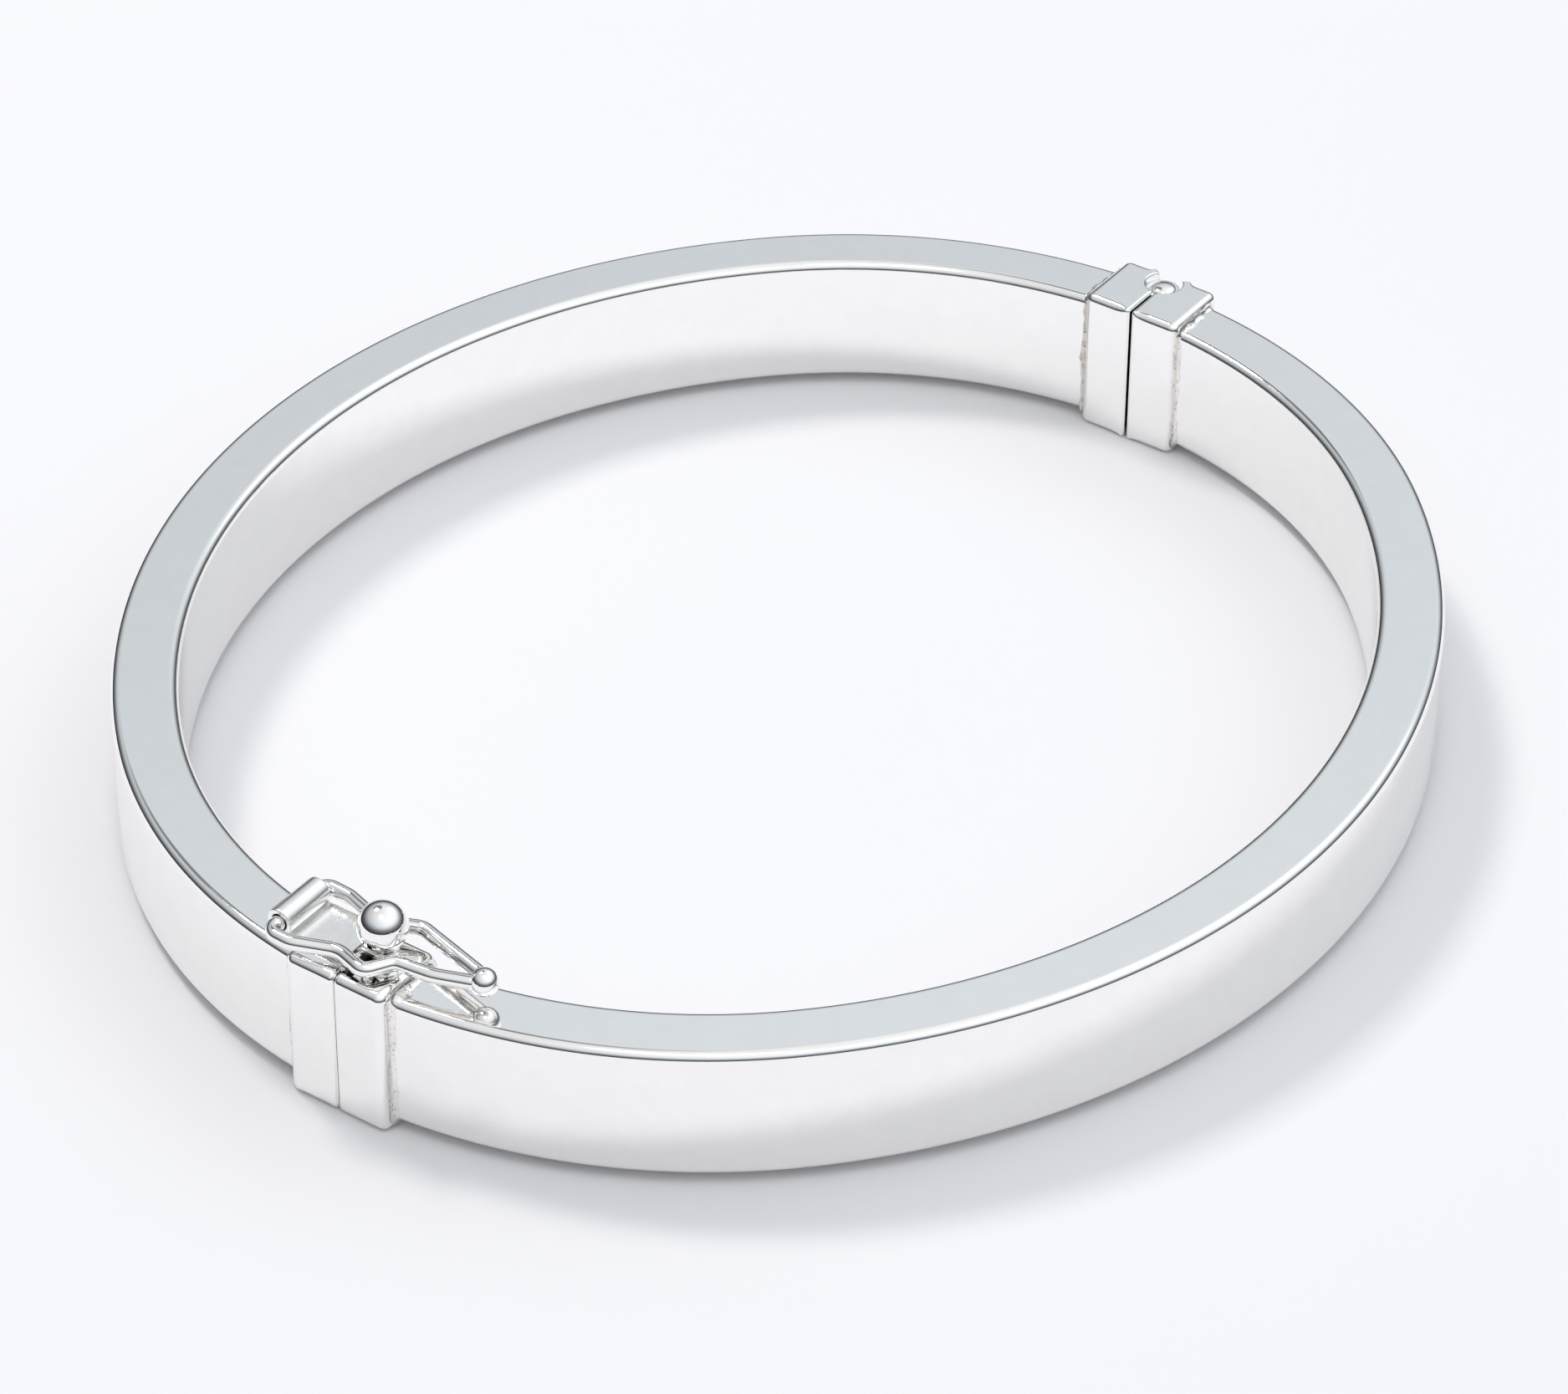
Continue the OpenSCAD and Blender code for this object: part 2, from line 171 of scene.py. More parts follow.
def silver(name, tint, roughness, roughVary, waves, scratches, pits=0.0, cloud=0.05,
           grain=(1, 1, 1), useMap=False):
    # mirror metal whose roughness drifts in clouds and along fine hairlines, over a slow waviness
    # from hand polishing; the bump adds waves, hairlines and small pits
    material = bpy.data.materials.new(name)
    material.use_nodes = True
    tree = material.node_tree
    nodes, links = tree.nodes, tree.links
    shader = nodes["Principled BSDF"]
    shader.inputs["Metallic"].default_value = 1.0
    coords = nodes.new("ShaderNodeTexCoord")
    source = coords.outputs["Object"]
    metres = nodes.new("ShaderNodeMapping")
    metres.inputs["Scale"].default_value = (1000, 1000, 1000)
    links.new(source, metres.inputs["Vector"])
    lines = nodes.new("ShaderNodeMapping")
    lines.inputs["Scale"].default_value = grain
    links.new(coords.outputs["UV"] if useMap else metres.outputs["Vector"], lines.inputs["Vector"])

    def noise(scale, detail, vector=metres, distortion=0.0, rough=0.5):  # fractal noise, 0 to 1
        n = nodes.new("ShaderNodeTexNoise")
        n.inputs["Scale"].default_value = scale
        n.inputs["Detail"].default_value = detail
        n.inputs["Roughness"].default_value = rough
        n.inputs["Distortion"].default_value = distortion
        links.new(vector.outputs["Vector"], n.inputs["Vector"])
        return n.outputs["Fac"]

    def remap(value, low, high, toLow, toHigh):  # straight line from one range to another
        m = nodes.new("ShaderNodeMapRange")
        for key, number in zip(("From Min", "From Max", "To Min", "To Max"), (low, high, toLow, toHigh)):
            m.inputs[key].default_value = number
        links.new(value, m.inputs["Value"])
        return m.outputs["Result"]

    def combine(kind, a, b):  # one sum, product or limit of two values
        m = nodes.new("ShaderNodeMath")
        m.operation = kind
        for socket, value in zip(m.inputs, (a, b)):
            if isinstance(value, (int, float)):
                socket.default_value = value
            else:
                links.new(value, socket)
        return m.outputs["Value"]

    clouds = noise(0.35, 4, rough=0.6)
    hair = noise(1.0, 3, vector=lines, rough=0.7)
    speckle = noise(5.5, 2)
    rough = combine("ADD", remap(clouds, 0.3, 0.7, roughness - roughVary, roughness + roughVary),
                    remap(hair, 0.5, 0.75, 0.0, roughVary * 1.2))
    links.new(combine("MAXIMUM", rough, 0.015), shader.inputs["Roughness"])
    ramp = nodes.new("ShaderNodeValToRGB")
    ramp.color_ramp.elements[0].position = 0.3
    ramp.color_ramp.elements[1].position = 0.7
    ramp.color_ramp.elements[0].color = (*[c * (1 - cloud) for c in tint], 1)
    ramp.color_ramp.elements[1].color = (*tint, 1)
    links.new(noise(0.8, 5, rough=0.65), ramp.inputs["Fac"])
    links.new(ramp.outputs["Color"], shader.inputs["Base Color"])
    height = combine("ADD", combine("MULTIPLY", noise(0.22, 2), waves),
                     combine("MULTIPLY", hair, scratches))
    if pits:
        height = combine("ADD", height, combine("MULTIPLY", remap(speckle, 0.60, 0.72, 0, 1), -pits))
    bump = nodes.new("ShaderNodeBump")
    bump.inputs["Strength"].default_value = 1.0
    bump.inputs["Distance"].default_value = 0.001
    links.new(height, bump.inputs["Height"])
    links.new(bump.outputs["Normal"], shader.inputs["Normal"])
    return material


finishes = {
    "bandTint": (0.975, 0.965, 0.945),
    "warmTint": (0.94, 0.915, 0.875),
}
bandSilver = silver("bandSilver", finishes["bandTint"], 0.07, 0.03, 0.010, 0.0010, 0.0, 0.03,
                    grain=(0.6, 60, 1), useMap=True)
collarSilver = silver("collarSilver", finishes["bandTint"], 0.06, 0.025, 0.012, 0.0010, 0.001, 0.03)
satinSilver = silver("satinSilver", finishes["bandTint"], 0.24, 0.05, 0.008, 0.002, 0.002, 0.05,
                     grain=(0.6, 9, 9))
wireSilver = silver("wireSilver", finishes["bandTint"], 0.05, 0.02, 0.012, 0.0006, 0.0, 0.03,
                    grain=(0.5, 30, 1), useMap=True)
ballSilver = silver("ballSilver", finishes["bandTint"], 0.035, 0.015, 0.006, 0.0006, 0.001, 0.02)
seamSilver = silver("seamSilver", finishes["warmTint"], 0.16, 0.06, 0.10, 0.004, 0.03, 0.16)
innerSilver = silver("innerSilver", finishes["warmTint"], 0.30, 0.08, 0.01, 0.004, 0.01, 0.22,
                     grain=(0.6, 9, 9))
print("silver finishes ready")


bandLow, bandHigh = cornersOf("front_shell")
clawLow, clawHigh = cornersOf("front_clasp_collar")
hingeLow, hingeHigh = cornersOf("front_hinge_collar")

band = {
    "halfLength": 33.0, "halfWidth": bandHigh[1], "endRadius": 27.103, "thickness": 3.1,
    "baseHeight": bandLow[2], "topHeight": bandHigh[2], "edgeRadius": 0.43, "sheet": 0.35,
    "claspStart": 0.62, "hingeStart": 1.56, "ringStep": 0.45,
}
band["pullIn"] = band["halfWidth"] - band["endRadius"]
band["endCentre"] = band["halfLength"] - band["endRadius"]
band["sideCentre"] = (band["endCentre"] ** 2 - band["pullIn"] ** 2) / (2 * band["pullIn"])
band["sideRadius"] = band["halfWidth"] + band["sideCentre"]
band["joinAngle"] = math.atan2(band["sideCentre"], band["endCentre"])


def ovalPath():
    # centre, radius and heading of the outside face, over the end arc, the side arc and the end arc
    join, step = band["joinAngle"], band["ringStep"]
    inner = band["endRadius"] - band["thickness"]
    first = math.asin(band["claspStart"] / inner)
    last = math.asin(band["hingeStart"] / inner)
    spans = [(band["endCentre"], 0.0, band["endRadius"], first, join),
             (0.0, -band["sideCentre"], band["sideRadius"], join, math.pi - join),
             (-band["endCentre"], 0.0, band["endRadius"], math.pi - join, math.pi - last)]
    rows = []
    for cx, cy, radius, start, end in spans:
        count = int(math.ceil((end - start) * radius / step))
        angle = np.linspace(start, end, count + 1)[(1 if rows else 0):]
        rows.append(np.stack([np.full_like(angle, cx), np.full_like(angle, cy),
                              np.full_like(angle, radius), angle], -1))
    return np.concatenate(rows)


def bandHalf(name, side, body, node):
    # the tube's rounded section carried along the oval, out along its outside and back along its
    # hollow, so that the sheet's two ends close it
    path = ovalPath()
    base, top, r, t = band["baseHeight"], band["topHeight"], band["edgeRadius"], band["sheet"]
    outside = softRect((0, base), (band["thickness"], top), r, corner=12, flat=8)
    hollow = softRect((t, base + t), (band["thickness"] - t, top - t), r - 0.8 * t, corner=12, flat=8)

    def carried(rows, section):  # arc centre plus (radius - depth) along each heading
        cx, cy, radius, angle = (rows[:, k, None] for k in range(4))
        reach = radius - section[None, :, 0]
        return np.stack([cx + reach * np.cos(angle), side * (cy + reach * np.sin(angle)),
                         np.broadcast_to(section[None, :, 1], reach.shape)], -1)

    ends = path[[0, -1]]
    nearEnds = carried(ends, 0.5 * outside + 0.5 * hollow)
    points = np.concatenate([carried(path, outside), nearEnds[1:], carried(path[::-6], hollow),
                             carried(path[:1], hollow), nearEnds[:1]])
    along = np.concatenate([lengthsOf(points[:, 0]), [0]])[:len(points) + 1]
    around = lengthsOf(outside)
    piece = gridPiece(name, points, uv=(along, around))
    return finishPiece(piece, body, "polished_silver", bandSilver, node)


bandHalf("band_back", -1, "back_half", "back_shell")
bandHalf("band_front", 1, "front_half", "front_shell")
print("band halves made")


collar = {
    "step": 0.45, "length": clawHigh[1] - clawLow[1], "face": 0.06, "claspFace": 0.02,
    "topHeight": clawHigh[2],
    "farEdge": 0.45, "partingEdge": 0.22, "notchHalfWidth": 1.5, "notchDepth": 0.70,
    "seamSize": 0.26, "seamSink": 0.06, "seamMost": 0.40, "seamSwing": 0.6, "seamLift": 0.004,
}


def bandShift(y):
    # how far the end arc has drawn in at distance y from the parting
    return math.sqrt(band["endRadius"] ** 2 - y * y) - band["endRadius"]


def claspCollar(name, side, notchDepth, body, node):
    # rounded block bored for the tube: the outline runs round the section while the profile goes
    # from the bore across the parting face, over the outside and back through the far face;
    # the notch pulls its columns of the parting face back
    start, end = collar["claspFace"], collar["face"] + collar["length"]
    step, farEdge, nearEdge = collar["step"], collar["farEdge"], collar["partingEdge"]
    middle = band["thickness"] / 2
    cuts = (middle - collar["notchHalfWidth"], middle + collar["notchHalfWidth"])
    low, high = np.array([-step, 0.0]), np.array([band["thickness"] + step, collar["topHeight"]])
    boreLow = np.array([0, band["baseHeight"]])
    boreHigh = np.array([band["thickness"], band["topHeight"]])
    corner = 12

    def outer(inset):  # the block's outline drawn in all round
        return softRect(low + inset, high - inset, farEdge - inset, cuts, corner)

    bore = softRect(boreLow, boreHigh, band["edgeRadius"], cuts, corner)
    rows = [(bore, start, 1), (0.5 * bore + 0.5 * outer(nearEdge + 0.02), start, 0),
            (outer(nearEdge + 0.02), start, 0)]
    rows += [(outer(nearEdge * (1 - math.sin(a))), start + nearEdge * (1 - math.cos(a)), 0)
             for a in turn(0, 90, 12)]
    rows += [(outer(0), y, 0) for y in (notchDepth or 0.7, 0.9, 1.4, end - farEdge - 0.03)]
    rows += [(outer(farEdge * (1 - math.cos(a))), end - farEdge * (1 - math.sin(a)), 0)
             for a in turn(0, 84, 14)]
    rows += [(0.5 * bore + 0.5 * outer(farEdge * 0.9), end, 0), (bore, end, 1),
             (bore, 0.5 * (start + end), 1)]
    sections = np.stack([row[0] for row in rows])
    y = np.broadcast_to(np.array([row[1] for row in rows])[:, None], sections.shape[:2]).copy()
    columns = np.zeros(sections.shape[1], bool)
    columns[1:2 + 6 + 3] = True  # the doubled stations at the two cuts bound these
    if notchDepth:
        y[:, columns] = np.maximum(y[:, columns], notchDepth)
    shift = np.array([bandShift(row[1]) * row[2] for row in rows])[:, None]
    points = np.stack([band["halfLength"] - sections[..., 0] + shift, side * y, sections[..., 1]], -1)
    piece = gridPiece(name, points)
    weld(piece)
    return finishPiece(piece, body, "polished_silver", collarSilver, node)


def weld(piece, gap=2e-7):
    # join points nearer than the gap and turn every face outward
    work = bmesh.new()
    work.from_mesh(piece.data)
    bmesh.ops.remove_doubles(work, verts=work.verts, dist=gap)
    bmesh.ops.recalc_face_normals(work, faces=work.faces)
    work.to_mesh(piece.data)
    work.free()
    piece.data.set_sharp_from_angle(angle=math.radians(32))
    piece.data.update()


claspCollar("clasp_collar_back", -1, 0, "back_half", "back_clasp_collar")
claspCollar("clasp_collar_front", 1, collar["notchDepth"], "front_half", "front_clasp_collar")
print("clasp collars made")


def solderSeam(name, end, sideX, sideY, body, seed, pool):
    # concave fillet between the collar's far face and the tube: its size wanders round the tube
    # as a sum of sines and is 1 + pool times as large on the top, where the solder gathered
    loop = softRect((0, band["baseHeight"]), (band["thickness"], band["topHeight"]), band["edgeRadius"],
                    corner=10, flat=14)
    tangent = np.roll(loop, -1, 0) - np.roll(loop, 1, 0)
    tangent /= np.linalg.norm(tangent, axis=1)[:, None]
    outward = np.stack([tangent[:, 1], -tangent[:, 0]], -1)
    around = lengthsOf(loop)[:-1]
    rng = np.random.default_rng(seed)
    turned = 2 * np.pi * around / lengthsOf(loop)[-1]
    waves = sum(rng.uniform(0.1, 0.3) * np.sin(k * turned + rng.uniform(0, 6.3)) for k in (3, 5, 8, 13, 21))
    onTop = np.clip((loop[:, 1] - band["topHeight"] + 0.3) / 0.3, 0, 1)
    size = (collar["seamSize"] * (1 + collar["seamSwing"] * waves) * (1 + pool * onTop))[:, None]
    bend = turn(0, 90, 8)
    sink, lift = -collar["seamSink"], collar["seamLift"]
    out = np.concatenate([[sink], 1 - np.sin(bend), [sink]])  # concave quarter from face to tube
    ahead = np.concatenate([[sink], 1 - np.cos(bend), [1.0]])
    outSize = np.where(out < 0, out, np.minimum(size, collar["seamMost"]) * out + lift)
    aheadSize = np.where(ahead < 0, ahead, size * ahead + lift)
    y = end + aheadSize
    shift = np.sqrt(band["endRadius"] ** 2 - y ** 2) - band["endRadius"]
    w = loop[:, None, 0] + outward[:, None, 0] * outSize
    z = loop[:, None, 1] + outward[:, None, 1] * outSize
    points = np.stack([sideX * (band["halfLength"] - w + shift), sideY * y, z], -1)
    piece = gridPiece(name, points)
    return finishPiece(piece, body, "polished_silver", seamSilver)


collarEnd = collar["face"] + collar["length"]
for name, sideX, sideY, body, seed, pool in (("clasp_seam_back", 1, -1, "back_half", 3, 0.0),
                                             ("clasp_seam_front", 1, 1, "front_half", 5, 0.9),
                                             ("hinge_seam_back", -1, -1, "back_half", 7, 0.0),
                                             ("hinge_seam_front", -1, 1, "front_half", 11, 0.2)):
    solderSeam(name, collarEnd, sideX, sideY, body, seed, pool)
print("solder seams made")


hinge = {
    "axisX": -32.6, "pocket": 0.92, "knuckle": 0.8, "pin": 0.4, "cornerFar": 0.45, "cornerNear": 0.22,
    "nose": 0.5, "headRadius": 0.62, "headHeight": 0.22,
    "rimShare": 0.88, "pocketEdge": 0.10, "knuckleEdge": 0.07, "pinGap": 0.05,
}


def hingeCollar(name, side, body, node):
    # plan outline with a round pocket and a slanting notch, stacked up with softened top and base
    x0, x1 = hingeLow[0], hingeHigh[0]
    y0, y1 = collar["face"], collarEnd
    axis, pocket = hinge["axisX"], hinge["pocket"]
    far, near, slight = hinge["cornerFar"], hinge["cornerNear"], hinge["pocketEdge"]
    rim, facing = far * hinge["rimShare"], near * hinge["rimShare"]

    def arc(cx, cy, r, start, end, count):  # centre plus radius times cosine and sine
        t = turn(start, end, count)
        return np.stack([cx + r * np.cos(t), cy + r * np.sin(t)], -1)

    def line(a, b, count=8, edge=0.04):  # a (1 - t) + b t, leaving out both ends
        t = withEdges(0, 1, min(edge / math.dist(a, b), 0.3), count)[1:-1, None]
        return np.array(a) * (1 - t) + np.array(b) * t

    pocketStart = math.degrees(math.asin(y0 / pocket))
    inlet = (axis + pocket * math.cos(math.radians(pocketStart)), y0)
    slant = (axis + pocket * math.cos(math.radians(135)), pocket * math.sin(math.radians(135)))
    nose = hinge["nose"]
    noseAt = (x0 + nose, axis - x0 + nose * math.tan(math.radians(22.5)))
    noseStart = (noseAt[0] - nose * math.sqrt(0.5), noseAt[1] - nose * math.sqrt(0.5))
    pieces = [
        (arc(x1 - near, y0 + near, near, 0, -90, 10), facing),
        (line((x1 - near, y0), inlet), facing),
        (arc(axis, 0, pocket, pocketStart, 135, 22), slight), (line(slant, noseStart, 3), slight),
        (arc(*noseAt, nose, 225, 180, 8), slight), (line((x0, noseAt[1]), (x0, y1 - far)), rim),
        (arc(x0 + far, y1 - far, far, 180, 90, 12), rim), (line((x0 + far, y1), (x1 - far, y1)), rim),
        (arc(x1 - far, y1 - far, far, 90, 0, 12), rim), (line((x1, y1 - far), (x1, y0 + near)), rim),
    ]
    outline = np.concatenate([p for p, _ in pieces])
    soft = np.concatenate([np.full(len(p), e) for p, e in pieces])
    for _ in range(6):  # the softness eases from side to side
        soft = np.minimum(soft, 0.25 * np.roll(soft, 1) + 0.5 * soft + 0.25 * np.roll(soft, -1))
    back, ahead = outline - np.roll(outline, 1, 0), np.roll(outline, -1, 0) - outline
    tangent = back / np.linalg.norm(back, axis=1)[:, None] + ahead / np.linalg.norm(ahead, axis=1)[:, None]
    tangent /= np.linalg.norm(tangent, axis=1)[:, None]
    inward = np.stack([tangent[:, 1], -tangent[:, 0]], -1)
    if np.einsum("ij,ij->i", inward, outline - outline.mean(0)).mean() > 0:
        inward = -inward
    bend = turn(0, 90, 12)
    height = collar["topHeight"]
    rise = np.concatenate([1 - np.sin(bend[::-1]), [1.08]])
    inset = np.concatenate([1 - np.cos(bend[::-1]), [0]])
    lower = [(i, h) for i, h in zip(inset, rise)]
    rings = [(1.10, 0.0, 0)] + [(i, h, 0) for i, h in lower]
    rings += [(i, h, 1) for i, h in lower[::-1]] + [(1.10, 0.0, 1)]
    rows = []
    for i, h, upper in rings:
        plan = outline + inward * (i * soft)[:, None]
        z = height - h * soft if upper else h * soft
        rows.append(np.column_stack([plan[:, 0], side * plan[:, 1], z]))
    piece = gridPiece(name, np.stack(rows), closeU=False, caps=True)
    return finishPiece(piece, body, "polished_silver", collarSilver, node)


hingeCollar("hinge_collar_back", -1, "back_half", "back_hinge_collar")
hingeCollar("hinge_collar_front", 1, "front_half", "front_hinge_collar")


def hingeKnuckle(name, side, body, node, bore):
    # ring about the pin whose radius steps out to the pocket over the web, softened at both rims
    low, high = cornersOf(node)
    angle = np.radians(np.concatenate([np.linspace(10.7, 134.9, 40), np.linspace(135.1, 369.6, 72)]))
    radius = np.where(angle < math.radians(135), hinge["pocket"], hinge["knuckle"])
    soft = hinge["knuckleEdge"]
    bend = turn(0, 90, 6)
    rows = [(bore, low[2], 0), (0.5, low[2], 2), (-soft * 1.3, low[2], 1)]
    rows += [(-soft * (1 - math.sin(a)), low[2] + soft * (1 - math.cos(a)), 1) for a in bend]
    rows += [(-soft * (1 - math.cos(a)), high[2] - soft * (1 - math.sin(a)), 1) for a in bend]
    rows += [(-soft * 1.3, high[2], 1), (0.5, high[2], 2), (bore, high[2], 0)]
    grid = []
    for reach, z, kind in rows:
        r = {0: np.full_like(radius, reach), 1: radius + reach, 2: 0.5 * (radius + bore)}[kind]
        grid.append(np.stack([hinge["axisX"] + r * np.cos(angle), side * r * np.sin(angle),
                              np.full_like(r, z)], -1))
    piece = gridPiece(name, np.stack(grid))
    return finishPiece(piece, body, "polished_silver", collarSilver, node)


hingeKnuckle("hinge_knuckle_upper", -1, "back_half", "upper_hinge_knuckle", hinge["pin"])
hingeKnuckle("hinge_knuckle_lower", -1, "back_half", "lower_hinge_knuckle", hinge["pin"])
hingeKnuckle("hinge_knuckle_middle", 1, "front_half", "middle_hinge_knuckle",
             hinge["pin"] + hinge["pinGap"])


def revolved(name, profile, centre, count=96):
    # profile of radius and height turned about the upright line through the centre
    t = np.linspace(0, 2 * np.pi, count, endpoint=False)[None, :]
    r, z = profile[:, :1], profile[:, 1:]
    points = np.stack([centre[0] + r * np.cos(t), centre[1] + r * np.sin(t), centre[2] + z + 0 * t], -1)
    return gridPiece(name, points, closeU=False, caps=True)


def hingePin():
    # shaft with a low domed rivet head at each end
    low, high = cornersOf("hinge_pin")
    head, rise, shaft = hinge["headRadius"], hinge["headHeight"], hinge["pin"]
    bend = turn(0, 90, 14)
    dome = np.stack([head * np.cos(bend), rise * np.sin(bend)], -1)[:-1]
    dome = np.concatenate([dome, [[0.02, rise]]])
    upper = np.concatenate([[[shaft, high[2] - rise]], dome + [0, high[2] - rise]])
    lower = (upper * [1, -1] + [0, low[2] + high[2]])[::-1]
    piece = revolved("hinge_pin_riveted", np.concatenate([lower, upper]), (hinge["axisX"], 0, 0))
    return finishPiece(piece, "back_half", "polished_silver", ballSilver, "hinge_pin")


hingePin()
print("hinge made")


strapLow, strapHigh = cornersOf("safety_strap")
strap = {
    "sheet": 0.25, "rollRadius": 0.525, "rollTurn": 318, "edge": 0.07,
    "rollY": -3.6, "rollZ": collar["topHeight"] + 0.65,
}


def ribbon(line, normal, half, middle, sheet, edge, across):
    # flat strip with rounded edges carried along a line, where each point is
    # line + across * (half * side + inset + middle) + normal * height in the sheet
    bend = turn(0, 90, 5)
    e = min(edge, sheet * 0.49)
    # quarter circle from side to top
    quarter = np.stack([-e * (1 - np.cos(bend)), sheet / 2 - e * (1 - np.sin(bend))], -1)
    right = np.concatenate([quarter * [1, -1], quarter])[np.r_[5:-1:-1, 6:12]]
    widthSign = np.concatenate([np.ones(12), [0.9, 0.3, -0.3, -0.9], -np.ones(12), [-0.9, -0.3, 0.3, 0.9]])
    inset = np.concatenate([right[:, 0], np.zeros(4), -right[::-1, 0], np.zeros(4)])
    crown = sheet / 2 + 0.002 * np.array([0.5, 1, 1, 0.5])  # rolled sheet is never quite flat
    thick = np.concatenate([right[:, 1], crown, right[::-1, 1], -crown])
    narrow = np.minimum(1, 0.9 * half / e)[:, None]
    wide = half[:, None] * widthSign[None, :] + inset[None, :] * narrow + middle[:, None]
    sideways = across[None, None, :] * wide[..., None]
    return line[:, None, :] + sideways + normal[:, None, :] * thick[None, :, None]


def safetyStrap():
    # sheet lying on the collar that rolls up round the wire and nearly meets itself again
    y0 = strapHigh[1]
    r, ry, rz = strap["rollRadius"], strap["rollY"], strap["rollZ"]
    flatY = np.concatenate([[y0, y0 - 0.04], np.linspace(y0 - 0.4, ry + 0.4, 6), [ry + 0.05]])
    angle = np.radians(-90 - np.linspace(0, strap["rollTurn"], 64))
    lift = rz - r
    line = np.concatenate([np.stack([0 * flatY, flatY, 0 * flatY + lift], -1),
                           np.stack([0 * angle, ry + r * np.cos(angle), rz + r * np.sin(angle)], -1)])
    normal = np.concatenate([np.tile([0, 0, 1.0], (len(flatY), 1)),
                             np.stack([0 * angle, -np.cos(angle), -np.sin(angle)], -1)])
    half = np.full(len(line), (strapHigh[0] - strapLow[0]) / 2)
    middle = np.full(len(line), (strapHigh[0] + strapLow[0]) / 2)
    points = ribbon(line, normal, half, middle, strap["sheet"], strap["edge"], np.array([1.0, 0, 0]))
    piece = gridPiece("safety_strap_rolled", points, closeU=False, caps=True)
    return finishPiece(piece, "back_half", "satin_silver", satinSilver, "safety_strap")


safetyStrap()

wire = {
    "radius": 0.35, "height": strap["rollZ"], "middleX": 31.45,
    # corners of the loop as x, y and bend radius
    "bends": [(1.75, -3.6, 0.5), (1.8, -2.4, 1.1), (1.0, -0.35, 1.3), (1.5, 1.35, 0.45),
              (0.25, 2.08, 0.5), (0.02, 3.9, 3.0), (-0.99, 6.62, 0.37), (-2.3, 1.65, 0.8),
              (-1.5, -0.1, 1.6), (-2.15, -2.2, 1.1), (-2.2, -3.6, 0.42)],
}


def roundedLoop(bends, step=0.05):
    # straight runs joined by arcs tangent to both, then walked at an even pace
    corner = np.array(bends)[:, :2]
    radius = np.array(bends)[:, 2]
    u = corner - np.roll(corner, 1, 0)
    v = np.roll(corner, -1, 0) - corner
    u /= np.linalg.norm(u, axis=1)[:, None]
    v /= np.linalg.norm(v, axis=1)[:, None]
    turned = np.arctan2(u[:, 0] * v[:, 1] - u[:, 1] * v[:, 0], (u * v).sum(1))
    side = np.sign(turned)
    inward = np.stack([-u[:, 1], u[:, 0]], -1) * side[:, None]
    centre = corner - u * (radius * np.tan(np.abs(turned) / 2))[:, None] + inward * radius[:, None]
    start = np.arctan2(-inward[:, 1], -inward[:, 0])
    t = start[:, None] + turned[:, None] * np.linspace(0, 1, 13)[None, :]
    line = (centre[:, None] + radius[:, None, None] * np.stack([np.cos(t), np.sin(t)], -1)).reshape(-1, 2)
    length = lengthsOf(line)
    closed = np.concatenate([line, line[:1]])
    at = np.linspace(0, length[-1], int(length[-1] / step), endpoint=False)
    even = np.stack([np.interp(at, length, closed[:, k]) for k in (0, 1)], -1)
    for _ in range(6):  # a real bend has no sudden change of curve
        even = 0.25 * np.roll(even, 1, 0) + 0.5 * even + 0.25 * np.roll(even, -1, 0)
    return even


def safetyWire():
    # round section carried along the closed loop
    line = roundedLoop(wire["bends"])
    ahead = np.roll(line, -1, 0) - np.roll(line, 1, 0)
    ahead /= np.linalg.norm(ahead, axis=1)[:, None]
    across = np.stack([-ahead[:, 1], ahead[:, 0]], -1)
    t = np.linspace(0, 2 * np.pi, 28, endpoint=False)
    wide, high = wire["radius"] * np.cos(t), wire["radius"] * np.sin(t)
    plan = line[:, None, :] + across[:, None, :] * wide[None, :, None]
    level = np.broadcast_to(wire["height"] + high[None, :, None], (*plan.shape[:2], 1))
    points = np.concatenate([plan + [wire["middleX"], 0], level], -1)
    along = lengthsOf(line)
    piece = gridPiece("safety_wire_loop", points, uv=(along, np.append(t, 2 * np.pi) * wire["radius"]))
    return finishPiece(piece, "safety_catch", "polished_silver", wireSilver, "safety_wire")


safetyWire()


def solderedBall(name, centre, radius, neckRadius, neckDrop, fillet, body, node):
    # sphere that runs down into a concave neck where it is soldered on
    t = turn(-90, 90, 56)
    r, z = radius * np.cos(t), radius * np.sin(t)
    neck = neckRadius + fillet * np.clip((z + radius) / (0.35 * radius), 0, 1) ** 0.5
    low = z < -radius * 0.72
    profile = np.stack([np.where(low, np.maximum(r, neck * 0.98), r), z], -1)
    profile[-1] = [0.01, radius]
    profile = np.concatenate([[[neckRadius * 1.25, -radius - neckDrop]], profile[1:]])
    piece = revolved(name, profile, centre, 112)
    return finishPiece(piece, body, "polished_silver", ballSilver, node)


ballLow, ballHigh = cornersOf("thumb_ball")
tipLow, tipHigh = cornersOf("safety_wire_tip")
ballAt, tipAt = (ballLow + ballHigh) / 2, (tipLow + tipHigh) / 2
balls = {"thumbNeck": 0.42, "thumbDrop": 0.02, "thumbFillet": 0.10, "tipNeck": 0.10}
solderedBall("thumb_ball_soldered", ballAt, (ballHigh[2] - ballLow[2]) / 2, balls["thumbNeck"],
             balls["thumbDrop"], balls["thumbFillet"], "tongue", "thumb_ball")
solderedBall("wire_tip_ball", tipAt, (tipHigh[2] - tipLow[2]) / 2, balls["tipNeck"], 0.0, 0.0,
             "safety_catch", "safety_wire_tip")

